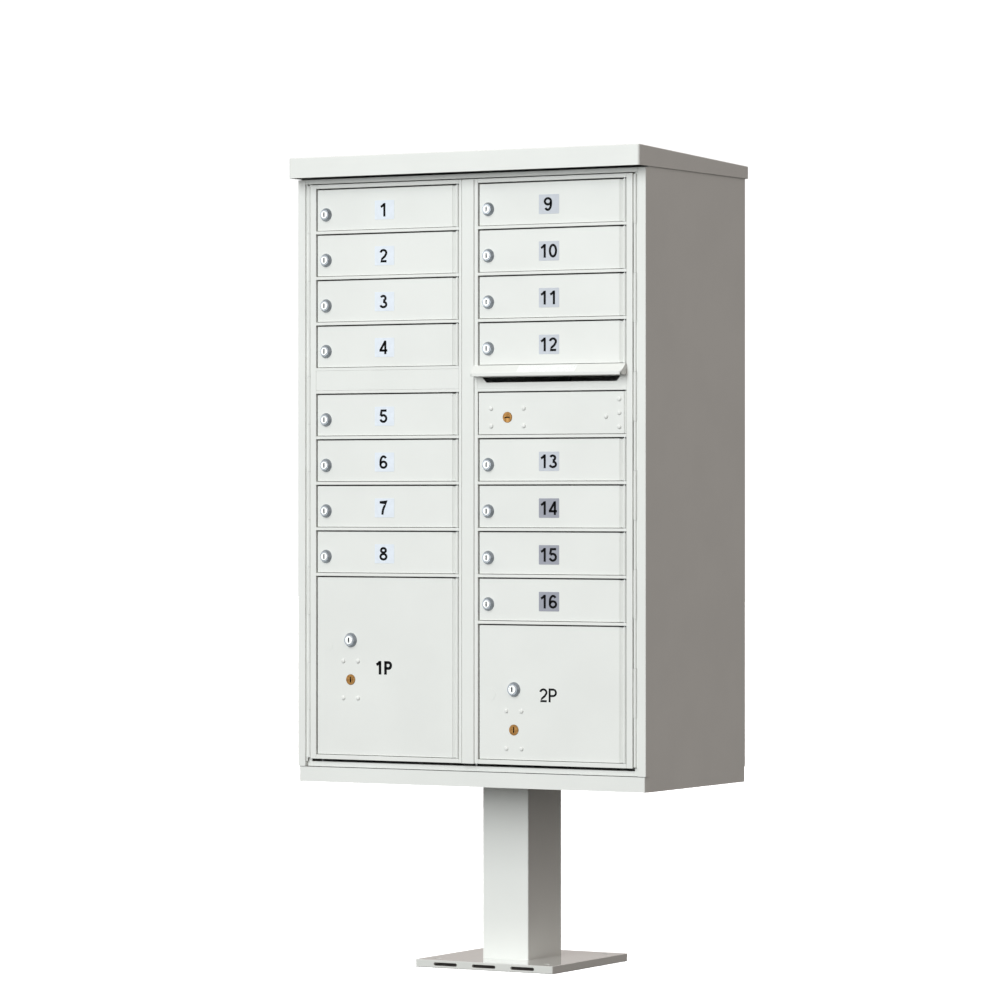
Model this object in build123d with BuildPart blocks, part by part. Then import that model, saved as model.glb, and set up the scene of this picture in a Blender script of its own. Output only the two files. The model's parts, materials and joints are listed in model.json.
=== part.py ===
from build123d import *
import os

# Pedestal-mounted cluster mailbox unit, in millimetres.
# X runs to the right when facing the doors, Y to the back, Z up.
# The origin is the middle of the unit's footprint, at the ground.

os.makedirs("parts", exist_ok=True)

# ---- overall ----
HOOD_WIDTH = 774.7
HOOD_DEPTH = 457.2
TOTAL_HEIGHT = 1574.8
ROOF_DROP = 15.5            # the roof falls this much from front to back
HOOD_SKIRT = 39.6           # height of the hood's front face
HOOD_SHEET = 2.0
HOOD_LIP = 5.0              # inward return under the hood's front
HOOD_BACK_GAP = 1.0         # between the hood's rear return and the cabinet
HOOD_CORNER = 5.0

# ---- cabinet body ----
FRONT = -197.8              # plane of the door fronts
BACK = 216.4
BODY_HALF = 385.0
BODY_BOTTOM = 357.2
SHEET = 2.5
PAN_TOP = 386.0
PAN_SETBACK = 1.5           # floor pan's front behind the door fronts
PAN_WING_TOP = 420.0        # the pan's sides rise inside the side panels
PAN_WING_START = 12.0
FLANGE_BOTTOM = 387.0       # the side panels start here
FLANGE_INNER = 368.0
FOLD_R = 1.6
JAMB_INNER = 357.5
JAMB_RECESS = 8.0
SILL_TOP = 396.5
HEADER_BOTTOM = 1524.5
HEADER_TOP = 1533.0         # a dark gap stays open between header and hood
HEADER_DEPTH = 45.0
SILL_DEPTH = 30.0
REAR_RIVET_INSET = 10.0
REAR_RIVET_Z = [420.0 + 110.0 * step for step in range(11)]
FIT = 0.1                   # gap left between separate pieces of one assembly
PAST = 1.0                  # cutting tools run this far past a face

# ---- loading doors ----
DOOR_OUTER = 356.5
DOOR_BOTTOM = 402.0
DOOR_TOP = 1522.5
DOOR_DEPTH = 20.0
STILE_EDGE = 343.5          # outer stiles' inner edge
MULLION = 21.1              # openings start this far from the centre line
LEFT_STILE_END = -15.0
RIGHT_STILE_START = -13.5
ASTRAGAL_HALF = 13.5
ASTRAGAL_HEIGHT = 2.4
ASTRAGAL_ROUND = 1.5
BOTTOM_RAIL_TOP = 410.5
TOP_LINE = 1513.3           # top of the first row of doors
PITCH = 88.9                # height of one row
BAR_RISE = 1.5              # a bar starts this far above its row line
BAR_HEIGHT = 5.8
BAR_DEPTH = 16.0
EDGE = 0.6                  # softened edges of bars and rails

# ---- rows, counted in pitches below the first row line ----
LEFT_TENANTS = [0, 1, 2, 3, 4.5, 5.5, 6.5, 7.5]
RIGHT_TENANTS = [0, 1, 2, 3, 5.5, 6.5, 7.5, 8.5]
LEFT_BARS = [1, 2, 3, 4, 4.5, 5.5, 6.5, 7.5, 8.5]
RIGHT_BARS = [1, 2, 3, 4, 4.5, 5.5, 6.5, 7.5, 8.5, 9.5]
SLOT_ROW = 4                # half a row: a blank panel left, the mail slot right
MAIL_ROW = 4.5
LEFT_PARCEL_ROW = 8.5
RIGHT_PARCEL_ROW = 9.5
LEFT_OPENING = (-STILE_EDGE, -MULLION)
RIGHT_OPENING = (MULLION, STILE_EDGE)

# ---- piano hinge of the loading doors ----
HINGE_X = 360.9
HINGE_Y = FRONT + 4.0
KNUCKLE_R = 3.3
HINGE_PIN_R = 1.6
RUNNING = 0.06              # radial clearance of every turning fit
KNUCKLES = 12
KNUCKLE_GAP = 0.25          # at each end of a knuckle
HINGE_Z = (404.0, 1521.0)
LEAF = (3.4, 5.2)           # hinge leaf, behind the front plane
LEAF_CLEAR = 0.5            # between the fixed leaf and the moving knuckles

# ---- tenant and parcel doors ----
FACE = FRONT + 3.0          # doors sit this far behind the bars
TRAY_DEPTH = 9.0
TRAY_CORNER = 1.0
TRAY_EDGE = 0.7
SKIN = 2.0
SIDE_GAP = 2.0
TOP_GAP = 1.0
BOTTOM_GAP = 8.3
PIVOT_INSET = 5.5           # hinge axis from the opening's right edge
PIVOT_Y = FRONT + 4.5
BARREL_R = 3.5
PIN_R = 1.6
PIN_FIT = 0.05              # pins sit in the bars with this radial gap
VALLEY = 10.0               # the leaf ends this far left of the hinge axis
VALLEY_DEPTH = 3.4          # and its edge slopes back this far to the barrel
WEB = 1.7                   # thickness of that sloping edge
WEB_INSET = 0.5

# ---- locks ----
LOCK_INSET = 21.1
LOCK_DROP = 49.5
LOCK_BACK = FRONT + DOOR_DEPTH - 2.0
PLUG_R = 7.5
BEZEL_R = 13.2
BEZEL_NOSE_R = 9.4
BEZEL_HEIGHT = 7.2
PLUG_HEIGHT = 7.9
PARCEL_PLUG_R = 8.5
PARCEL_BEZEL_R = 14.2
PARCEL_NOSE_R = 10.6
BARREL_WALL = 2.0           # lock body around the plug
BEZEL_STEP = 0.6
BEZEL_EDGE = 1.2
KEYWAY = (2.8, 9.4)
KEYWAY_DEPTH = 9.0
PLUG_EDGE = 0.5
TAIL_R = 4.0
TAIL_NUT = 2.5
CAM_Y = FRONT + DOOR_DEPTH + 0.6
CAM_THICK = 2.6
CAM_WIDTH = 10.0
CAM_HUB_R = 7.0
TENANT_CAM = 26.0
RIVET_R = 4.6
RIVET_HEIGHT = 2.2
SHANK_R = 2.4
DOME = [(0.0, 1.0), (0.42, 0.93), (0.76, 0.66)]   # rivet head: (radius, height) parts

# ---- parcel doors ----
PARCEL_LOCK_INSET = 77.5
PARCEL_LOCK_Z = (634.8, 545.7)
PARCEL_ARROW_Z = (557.8, 468.4)
PARCEL_CAM = 84.0           # reaches behind the stile
RAIL_CAM = 63.0             # turns down behind the bottom rail
CASE_HALF = (23.0, 43.0)
CASE_GAP = 4.0              # from a panel's front to the case behind it
ARROW_R = 10.3
ARROW_PROUD = 0.8
ARROW_KEYWAY = (2.6, 11.0)
ARROW_RIVETS = (16.5, 36.0)
PLUGGED_HOLE_R = 11.0       # shallow disc where another lock could be fitted
PLUGGED_OFFSET = (-51.5, -10.5)
PLUGGED_PROUD = 0.3

# ---- outgoing mail door ----
MAIL_FACE = FRONT + 1.0
MAIL_LEFT = 22.6
MAIL_LOCK = (85.7, 1065.2)
MAIL_CAM = 54.0
MAIL_RIVETS = [(299.5, 1064.9), (328.0, 1097.6), (328.0, 1071.8), (328.0, 1045.2)]
MAIL_ARROW_RIVETS = (35.7, 16.9)
MAIL_PIVOT = (340.8, FRONT + 2.6)
MAIL_BARREL_R = 2.2
MAIL_PIN_R = 1.0
MAIL_LEAF = (1.4, 3.2)      # hinge leaf, behind the plate's front
MAIL_LEAF_WIDTH = 14.0
MAIL_HINGE_GAP = 0.4

# ---- outgoing mail slot ----
SLOT_Z = (1131.8, 1142.0)
SLOT_TOP_X = (30.0, 331.4)
SLOT_BOTTOM_X = (40.0, 322.3)
SLOT_SETBACK = 0.4
AWNING_X = (13.7, 343.4)
AWNING_TOP = 1164.6
AWNING_EDGE = (1143.5, 1149.0)
AWNING_REACH = 20.0
AWNING_ROOT = 3.0
AWNING_SHEET = 1.5
AWNING_CORNER = 8.0

# ---- latch bars behind the loading doors ----
LATCH_X = 4.0
LATCH_Y = 8.0
LATCH_FRONT = FRONT + DOOR_DEPTH + 0.8
LATCH_SPAN = (412.0, 1522.0)
LATCH_POINT = 1.2
LATCH_TAB = 2.5
LATCH_TAB_Z = (1180.0, 1200.0)
LATCH_SLOT_GAP = 0.5
LEFT_LATCH_X = -18.9
RIGHT_LATCH_X = -7.0
GUIDE_WALL = 1.5
GUIDE_GAP = 0.35
GUIDE_HEIGHT = 14.0
GUIDE_HEIGHTS = (560.0, 960.0, 1360.0)

# ---- compartments ----
RACK_FRONT = FRONT + 32.0
RACK_BACK = 211.0
RACK_TOP_GAP = 2.0
WALL_X = 346.5
SHELF = 2.0
SHELF_ROUND = 0.8

# ---- pedestal ----
PEDESTAL_Y = 13.4
BASE_SIDE = 304.8
BASE_HEIGHT = 15.0
BASE_SHEET = 5.0
BASE_CORNER = 3.0
BASE_EDGE = 1.0
BASE_SLOT = (52.0, 6.4)
BASE_SLOT_PITCH = 85.6
BASE_SLOT_Z = 7.3
POST_X = 101.6
POST_Y = 133.4
POST_WALL = 3.2
POST_CORNER = 2.2
CAP_X = 180.0
CAP_Y = 210.0
CAP_SHEET = 6.4
CAP_CORNER = 8.0
ANCHOR_SPACING = 241.3
ANCHOR_R = 7.15
STUD_X = 140.0
STUD_Y = 176.0
STUD_R = 6.0
STUD_GAP = 0.5              # in the floor pan
STUD_TOP = 12.0             # above the floor pan
NUT_R = 10.5
NUT_HEIGHT = 9.5


def line(rows):
    """Height of the row line that many rows below the first."""
    return TOP_LINE - rows * PITCH


ROOF = Plane(
    origin=(0, 0, TOTAL_HEIGHT - ROOF_DROP / 2 - HOOD_SHEET - FIT),
    z_dir=(0, ROOF_DROP / HOOD_DEPTH, 1),
)
PIN_TOP = line(0) + BAR_RISE + 5.0
PIN_BOTTOM = BOTTOM_RAIL_TOP - 5.0


# ---------------------------------------------------------------- helpers

def block(xs, ys, zs, mode=Mode.ADD):
    """A box between two limits on each axis, in the part being built."""
    middle = [(low + high) / 2 for low, high in (xs, ys, zs)]
    with Locations(tuple(middle)):
        Box(xs[1] - xs[0], ys[1] - ys[0], zs[1] - zs[0], mode=mode)


def upright(radius, x, y, zs, mode=Mode.ADD):
    """A cylinder along Z."""
    with Locations((x, y, (zs[0] + zs[1]) / 2)):
        Cylinder(radius, zs[1] - zs[0], mode=mode)


def along_y(radius, x, z, ys, mode=Mode.ADD):
    """A cylinder along Y."""
    with Locations((x, (ys[0] + ys[1]) / 2, z)):
        Cylinder(radius, ys[1] - ys[0], rotation=(90, 0, 0), mode=mode)


def turned(profile, x, z):
    """A ring or plug turned about a Y axis at x, z, from (radius, y) points."""
    with BuildSketch(Plane.XY.offset(z)) as half_section:
        with BuildLine():
            Polyline(*[(x + radius, y) for radius, y in profile], close=True)
        make_face()
    revolve(half_section.sketch, axis=Axis((x, 0, z), (0, 1, 0)))


def soften(radius, *axes):
    """Round the part's edges that run along the given axes."""
    for axis in axes:
        fillet(edges().filter_by(axis), radius)


def finish(built, name):
    """Label a finished piece and write it."""
    built.part.label = name
    export_step(built.part, f"parts/{name}.step")


def dome(face, direction):
    """Profile of a rivet's head on a face, from its middle outwards."""
    return [(RIVET_R * out, face + direction * RIVET_HEIGHT * up) for out, up in DOME]


def rivets(points, face):
    """Dome-headed rivets set in holes of a panel whose front is at face."""
    for x, z in points:
        along_y(SHANK_R + FIT, x, z, (face - PAST, face + SKIN + PAST), Mode.SUBTRACT)
    shank = [(RIVET_R, face - FIT), (SHANK_R, face - FIT), (SHANK_R, face + SKIN), (0, face + SKIN)]
    for x, z in points:
        turned(dome(face, -1) + shank, x, z)


# ---------------------------------------------------------------- hood

def make_hood():
    half_depth = HOOD_DEPTH / 2
    bottom = TOTAL_HEIGHT - HOOD_SKIRT
    back_top = TOTAL_HEIGHT - ROOF_DROP
    inner = HOOD_WIDTH / 2 - HOOD_SHEET
    with BuildPart() as hood:
        with BuildSketch(Plane.YZ):
            with BuildLine():
                Polyline(
                    (-half_depth, bottom),
                    (half_depth, bottom),
                    (half_depth, back_top),
                    (-half_depth, TOTAL_HEIGHT),
                    close=True,
                )
            make_face()
        extrude(amount=HOOD_WIDTH / 2, both=True)
        soften(HOOD_CORNER, Axis.Z)
        fillet(faces().sort_by(Axis.Z)[-1].edges(), HOOD_SHEET)
        wall = half_depth - HOOD_SHEET
        with BuildSketch(Plane.YZ):
            with BuildLine():
                Polyline(
                    (-wall, bottom + HOOD_SHEET),
                    (wall, bottom + HOOD_SHEET),
                    (wall, back_top - HOOD_SHEET),
                    (-wall, TOTAL_HEIGHT - HOOD_SHEET),
                    close=True,
                )
            make_face()
        extrude(amount=inner, both=True, mode=Mode.SUBTRACT)
        mouth = (-half_depth + HOOD_LIP, BACK + HOOD_BACK_GAP)
        rim = (bottom - PAST, bottom + HOOD_SHEET + PAST)
        block((-inner, inner), mouth, rim, Mode.SUBTRACT)
    finish(hood, "hood")


# ---------------------------------------------------------------- cabinet shell

def make_side_panel(side, name):
    """Side sheet with the front flange and its inward return, folded in one piece."""
    with BuildPart() as panel:
        with BuildSketch(Plane.XY.offset(FLANGE_BOTTOM)) as profile:
            with BuildLine():
                Polyline(
                    (side * BODY_HALF, FRONT),
                    (side * FLANGE_INNER, FRONT),
                    (side * FLANGE_INNER, FRONT + JAMB_RECESS + SHEET),
                    (side * (FLANGE_INNER + SHEET), FRONT + JAMB_RECESS + SHEET),
                    (side * (FLANGE_INNER + SHEET), FRONT + SHEET),
                    (side * (BODY_HALF - SHEET), FRONT + SHEET),
                    (side * (BODY_HALF - SHEET), BACK),
                    (side * BODY_HALF, BACK),
                    close=True,
                )
            make_face()
            fillet(profile.vertices().group_by(Axis.Y)[0], FOLD_R)
        extrude(amount=TOTAL_HEIGHT - FLANGE_BOTTOM)
        fold = sorted((side * (FLANGE_INNER - PAST), side * (BODY_HALF + PAST)))
        fold_y = (FRONT - PAST, FRONT + JAMB_RECESS + SHEET + PAST)
        block(fold, fold_y, (HEADER_TOP, TOTAL_HEIGHT + PAST), Mode.SUBTRACT)
        split(bisect_by=ROOF, keep=Keep.BOTTOM)
    finish(panel, name)


def make_rear_panel():
    half = BODY_HALF - SHEET - FIT
    with BuildPart() as rear_panel:
        block((-half, half), (BACK - SHEET, BACK), (BODY_BOTTOM, TOTAL_HEIGHT))
        split(bisect_by=ROOF, keep=Keep.BOTTOM)
        for x in (-half + REAR_RIVET_INSET, half - REAR_RIVET_INSET):
            for z in REAR_RIVET_Z:
                along_y(SHANK_R + FIT, x, z, (BACK - 2 * SHEET, BACK + PAST), Mode.SUBTRACT)
    finish(rear_panel, "rear_panel")


def make_floor_pan():
    """Shallow tray under the cabinet, with sides that rise inside the side panels."""
    half = BODY_HALF - SHEET - 3 * FIT
    front = FRONT + PAN_SETBACK
    back = BACK - SHEET - FIT
    with BuildPart() as floor_pan:
        block((-half, half), (front, back), (BODY_BOTTOM, PAN_TOP))
        soften(SKIN, Axis.Z)
        inside = ((-half + SHEET, half - SHEET), (front + SHEET, back - SHEET))
        block(*inside, (BODY_BOTTOM + SHEET, PAN_TOP + PAST), Mode.SUBTRACT)
        for side in (-1, 1):
            wing = sorted((side * half, side * (half - SHEET)))
            block(wing, (front + PAN_WING_START, back - SHEET), (PAN_TOP - PAST, PAN_WING_TOP))
        with Locations((0, PEDESTAL_Y, BODY_BOTTOM)):
            with GridLocations(STUD_X, STUD_Y, 2, 2):
                Cylinder(STUD_R + STUD_GAP, 4 * SHEET, mode=Mode.SUBTRACT)
    finish(floor_pan, "floor_pan")


def knuckle_spans(first):
    """Every second knuckle's height span, from the hinge's bottom up."""
    step = (HINGE_Z[1] - HINGE_Z[0]) / KNUCKLES
    spans = []
    for index in range(first, KNUCKLES, 2):
        low = HINGE_Z[0] + index * step
        spans.append((low + KNUCKLE_GAP, low + step - KNUCKLE_GAP))
    return spans


def knuckle(side, zs, leaf_end):
    """One barrel of the piano hinge and its leaf."""
    upright(KNUCKLE_R, side * HINGE_X, HINGE_Y, zs)
    leaf = sorted((side * HINGE_X, side * leaf_end))
    block(leaf, (FRONT + LEAF[0], FRONT + LEAF[1]), zs)
    upright(HINGE_PIN_R + RUNNING, side * HINGE_X, HINGE_Y, zs, Mode.SUBTRACT)


def make_face_frame():
    """Jambs, sill, header and the fixed hinge knuckles around the loading doors."""
    reach = FLANGE_INNER - FIT
    jamb_front = FRONT + JAMB_RECESS
    jamb_back = jamb_front + SHEET
    with BuildPart() as face_frame:
        block((-reach, reach), (jamb_front, jamb_back), (FLANGE_BOTTOM, SILL_TOP))
        block((-reach, reach), (jamb_front, FRONT + SILL_DEPTH), (SILL_TOP - SHEET, SILL_TOP))
        block((-reach, reach), (FRONT, FRONT + SHEET), (HEADER_BOTTOM, HEADER_TOP))
        floor = (HEADER_BOTTOM, HEADER_BOTTOM + SHEET)
        block((-reach, reach), (FRONT, FRONT + HEADER_DEPTH), floor)
        slot_z = (HEADER_BOTTOM - PAST, HEADER_BOTTOM + SHEET + PAST)
        slot_y = (LATCH_FRONT - LATCH_SLOT_GAP, LATCH_FRONT + LATCH_Y + LATCH_SLOT_GAP)
        reach_x = LATCH_X / 2 + LATCH_SLOT_GAP
        for x in (LEFT_LATCH_X, RIGHT_LATCH_X):
            block((x - reach_x, x + reach_x), slot_y, slot_z, Mode.SUBTRACT)
        for side in (-1, 1):
            jamb = sorted((side * JAMB_INNER, side * reach))
            upright_z = (SILL_TOP + FIT, HEADER_BOTTOM - FIT)
            block(jamb, (jamb_front, jamb_back), upright_z)
            strip = sorted((side * (HINGE_X + KNUCKLE_R + LEAF_CLEAR), side * reach))
            block(strip, (FRONT + LEAF[0], FRONT + LEAF[1]), upright_z)
            for zs in knuckle_spans(0):
                knuckle(side, zs, reach)
    finish(face_frame, "face_frame")


# ---------------------------------------------------------------- compartments

def make_compartment_walls():
    low = BODY_BOTTOM + SHEET + FIT
    high = DOOR_TOP - RACK_TOP_GAP
    with BuildPart() as walls:
        for xs in ((-WALL_X - SHEET, -WALL_X), (-SHELF / 2, SHELF / 2), (WALL_X, WALL_X + SHEET)):
            block(xs, (RACK_FRONT, RACK_BACK), (low, high))
    finish(walls, "compartment_walls")


def shelf_heights(rows):
    """Shelf tops: one above the first row, one behind each bar, and the lowest floor."""
    heights = [line(row) + BAR_RISE + BAR_HEIGHT / 2 + SHELF / 2 for row in [0] + rows]
    return heights + [BOTTOM_RAIL_TOP - SHELF]


def make_compartment_shelves():
    inner = SHELF / 2 + FIT
    outer = WALL_X - FIT
    left = shelf_heights(LEFT_BARS)
    right = shelf_heights([row for row in RIGHT_BARS if row != MAIL_ROW])
    with BuildPart() as shelves:
        for xs, heights in (((-outer, -inner), left), ((inner, outer), right)):
            for top in heights:
                block(xs, (RACK_FRONT, RACK_BACK), (top - SHELF, top))
        fillet(shelves.edges().filter_by(Axis.X).group_by(Axis.Y)[0], SHELF_ROUND)
    finish(shelves, "compartment_shelves")


# ---------------------------------------------------------------- loading doors

def latch_guides(x):
    """Loops behind a stile that the latch bar slides through."""
    bore_x = LATCH_X / 2 + GUIDE_GAP
    back = LATCH_FRONT + LATCH_Y + GUIDE_GAP
    for z in GUIDE_HEIGHTS:
        zs = (z, z + GUIDE_HEIGHT)
        outer = (x - bore_x - GUIDE_WALL, x + bore_x + GUIDE_WALL)
        block(outer, (FRONT + DOOR_DEPTH + FIT, back + GUIDE_WALL), zs)
        block((x - bore_x, x + bore_x), (LATCH_FRONT - GUIDE_GAP, back), zs, Mode.SUBTRACT)


def make_door_frame(side, name):
    """Outer and inner stiles, top and bottom rails and the moving hinge knuckles."""
    ys = (FRONT, FRONT + DOOR_DEPTH)
    inner = (-MULLION, LEFT_STILE_END) if side < 0 else (RIGHT_STILE_START, MULLION)
    outer = sorted((side * STILE_EDGE, side * DOOR_OUTER))
    opening = LEFT_OPENING if side < 0 else RIGHT_OPENING
    rails = (opening[0] + FIT, opening[1] - FIT)
    pivot = opening[1] - PIVOT_INSET
    with BuildPart() as frame:
        block(outer, ys, (DOOR_BOTTOM, DOOR_TOP))
        block(inner, ys, (DOOR_BOTTOM, DOOR_TOP))
        block(rails, ys, (line(0) + BAR_RISE, DOOR_TOP))
        block(rails, ys, (DOOR_BOTTOM, BOTTOM_RAIL_TOP))
        fillet(frame.edges().group_by(Axis.Y)[0], EDGE)
        upright(PIN_R + PIN_FIT, pivot, PIVOT_Y, (PIN_BOTTOM, PIN_TOP), Mode.SUBTRACT)
        for zs in knuckle_spans(1):
            knuckle(side, zs, DOOR_OUTER - PAST)
        latch_guides(LEFT_LATCH_X if side < 0 else RIGHT_LATCH_X)
        if side > 0:
            astragal((RIGHT_STILE_START, ASTRAGAL_HALF), (FRONT - ASTRAGAL_HEIGHT, FRONT - FIT))
    finish(frame, name)


def astragal(xs, ys):
    """Raised strip that covers the gap between the two loading doors."""
    with BuildSketch(Plane.XY.offset(DOOR_BOTTOM)) as strip:
        with Locations(((xs[0] + xs[1]) / 2, (ys[0] + ys[1]) / 2)):
            Rectangle(xs[1] - xs[0], ys[1] - ys[0])
        fillet(strip.vertices().group_by(Axis.Y)[0], ASTRAGAL_ROUND)
    extrude(strip.sketch, amount=DOOR_TOP - DOOR_BOTTOM - ASTRAGAL_ROUND)


def bar(opening, row, holes):
    """One horizontal bar across a loading door, drilled for hinge pins."""
    low = line(row) + BAR_RISE
    zs = (low, low + BAR_HEIGHT)
    xs = (opening[0] + FIT, opening[1] - FIT)
    with BuildPart() as piece:
        block(xs, (FRONT, FRONT + BAR_DEPTH), zs)
        fillet(piece.edges().filter_by(Axis.X).group_by(Axis.Y)[0], EDGE)
        for x, y, radius in holes:
            upright(radius, x, y, (low - PAST, low + BAR_HEIGHT + PAST), Mode.SUBTRACT)
    return piece.part


def pivot_hole(opening):
    return (opening[1] - PIVOT_INSET, PIVOT_Y, PIN_R + PIN_FIT)


def make_left_bars():
    hole = pivot_hole(LEFT_OPENING)
    pieces = [bar(LEFT_OPENING, row, [hole]) for row in LEFT_BARS]
    low = line(MAIL_ROW) + BAR_RISE + BAR_HEIGHT + FIT
    high = line(SLOT_ROW) + BAR_RISE - FIT
    with BuildPart() as blank_panel:
        xs = (LEFT_OPENING[0] + FIT, LEFT_OPENING[1] - FIT)
        block(xs, (FRONT, FRONT + BAR_DEPTH), (low, high))
        fillet(blank_panel.faces().sort_by(Axis.Y)[0].edges(), EDGE)
        upright(hole[2], hole[0], hole[1], (low - PAST, high + PAST), Mode.SUBTRACT)
    with BuildPart() as left_door_bars:
        add(pieces)
        add(blank_panel.part)
    finish(left_door_bars, "left_door_bars")


def make_right_bars():
    hole = pivot_hole(RIGHT_OPENING)
    mail_hole = (*MAIL_PIVOT, MAIL_PIN_R + PIN_FIT)
    with BuildPart() as right_door_bars:
        for row in RIGHT_BARS:
            holes = [] if row == MAIL_ROW else [hole]
            if row in (MAIL_ROW, MAIL_ROW + 1):
                holes.append(mail_hole)
            add(bar(RIGHT_OPENING, row, holes))
    finish(right_door_bars, "right_door_bars")


def make_pins():
    """Hinge pins of each column, held by the loading doors' bars."""
    left = LEFT_OPENING[1] - PIVOT_INSET
    right = RIGHT_OPENING[1] - PIVOT_INSET
    middle = BAR_RISE + BAR_HEIGHT / 2
    with BuildPart() as left_door_pins:
        upright(PIN_R, left, PIVOT_Y, (line(SLOT_ROW) + middle, PIN_TOP - FIT))
        upright(PIN_R, left, PIVOT_Y, (PIN_BOTTOM + FIT, line(MAIL_ROW) + middle))
    finish(left_door_pins, "left_door_pins")
    with BuildPart() as right_door_pins:
        upright(PIN_R, right, PIVOT_Y, (line(SLOT_ROW) + middle, PIN_TOP - FIT))
        upright(PIN_R, right, PIVOT_Y, (PIN_BOTTOM + FIT, line(MAIL_ROW + 1) + middle))
        upright(MAIL_PIN_R, *MAIL_PIVOT, (line(MAIL_ROW + 1) + middle, line(MAIL_ROW) + middle))
    finish(right_door_pins, "right_door_pins")


def make_latch_bar(x, name):
    """Sliding bar behind a loading door; its top enters the header's slot."""
    ys = (LATCH_FRONT, LATCH_FRONT + LATCH_Y)
    with BuildPart() as latch:
        block((x - LATCH_X / 2, x + LATCH_X / 2), ys, LATCH_SPAN)
        chamfer(latch.faces().sort_by(Axis.Z)[-1].edges(), LATCH_POINT)
        block((x - LATCH_X / 2, x + LATCH_X / 2), (ys[1], ys[1] + LATCH_TAB), LATCH_TAB_Z)
    finish(latch, name)


# ---------------------------------------------------------------- mail slot

def awning_profile(inset):
    """Side outline of the sloping hood over the slot, shrunk inwards by inset."""
    root = FRONT - FIT + inset
    lip = FRONT - AWNING_REACH + inset
    top = AWNING_TOP - 2 * inset
    low = AWNING_EDGE[0] - 2 * inset
    return [(root, top), (FRONT - AWNING_ROOT, top), (lip, AWNING_EDGE[1] - inset), (lip, low), (root, low)]


def make_mail_slot_hood():
    """Slot plate in the half row, and the sloping hood riveted above the slot."""
    low = line(MAIL_ROW) + BAR_RISE + BAR_HEIGHT + FIT
    high = line(SLOT_ROW) + BAR_RISE - FIT
    xs = (RIGHT_OPENING[0] + FIT, RIGHT_OPENING[1] - FIT)
    with BuildPart() as slot_hood:
        with BuildSketch(Plane.YZ.offset(AWNING_X[0])):
            with BuildLine():
                Polyline(*awning_profile(0), close=True)
            make_face()
        extrude(amount=AWNING_X[1] - AWNING_X[0])
        fillet(slot_hood.edges().filter_by(Axis.Z).group_by(Axis.Y)[0], AWNING_CORNER)
        with BuildSketch(Plane.YZ.offset(AWNING_X[0] + AWNING_SHEET)):
            with BuildLine():
                Polyline(*awning_profile(AWNING_SHEET), close=True)
            make_face()
        extrude(amount=AWNING_X[1] - AWNING_X[0] - 2 * AWNING_SHEET, mode=Mode.SUBTRACT)
        block(xs, (FRONT + SLOT_SETBACK, FRONT + SLOT_SETBACK + SKIN), (low, high))
        with BuildSketch(Plane.XZ.offset(-FRONT)):
            with BuildLine():
                Polyline(
                    (SLOT_BOTTOM_X[0], SLOT_Z[0]),
                    (SLOT_BOTTOM_X[1], SLOT_Z[0]),
                    (SLOT_TOP_X[1], SLOT_Z[1]),
                    (SLOT_TOP_X[0], SLOT_Z[1]),
                    close=True,
                )
            make_face()
        extrude(amount=-4 * SKIN, mode=Mode.SUBTRACT)
    finish(slot_hood, "mail_slot_hood")


# ---------------------------------------------------------------- locks

def lock_housing(x, z, base_r, nose_r, plug_r):
    """Tapered bezel in front of the panel and the cylinder's body behind it."""
    bore = plug_r + RUNNING
    body = plug_r + BARREL_WALL
    nose = FACE - BEZEL_HEIGHT
    along_y(body + FIT, x, z, (FACE - PAST, FACE + SKIN + PAST), Mode.SUBTRACT)
    turned(
        [
            (bore, nose),
            (nose_r, nose),
            (base_r - BEZEL_STEP, FACE - BEZEL_EDGE),
            (base_r, FACE - FIT),
            (body, FACE - FIT),
            (body, LOCK_BACK),
            (bore, LOCK_BACK),
        ],
        x,
        z,
    )


def cam(x, z, reach, direction):
    """Locking cam on the cylinder's tail: direction is the unit (x, z) it points to."""
    ys = (CAM_Y, CAM_Y + CAM_THICK)
    along_y(CAM_HUB_R, x, z, ys)
    dx, dz = direction
    half = CAM_WIDTH / 2
    ends_x = sorted((x, x + reach * dx)) if dx else (x - half, x + half)
    ends_z = sorted((z, z + reach * dz)) if dz else (z - half, z + half)
    block(ends_x, ys, ends_z)


def make_lock(name, x, z, plug_r, nose, keyway, cam_reach, cam_direction):
    """Rotating cylinder with its keyway, and the cam screwed to its tail."""
    width, height = keyway
    shoulder = LOCK_BACK - 2 * FIT
    with BuildPart() as lock:
        turned(
            [
                (0, nose),
                (plug_r - PLUG_EDGE, nose),
                (plug_r, nose + PLUG_EDGE),
                (plug_r, shoulder),
                (TAIL_R, shoulder),
                (TAIL_R, CAM_Y - FIT),
                (0, CAM_Y - FIT),
            ],
            x,
            z,
        )
        slot_x = (x - width / 2, x + width / 2)
        slot_z = (z - height / 2, z + height / 2)
        block(slot_x, (nose - PAST, nose + KEYWAY_DEPTH), slot_z, Mode.SUBTRACT)
        cam(x, z, cam_reach, cam_direction)
        nut = CAM_Y + CAM_THICK + FIT
        along_y(TAIL_R, x, z, (nut, nut + TAIL_NUT))
    finish(lock, name)


# ---------------------------------------------------------------- small doors

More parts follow.
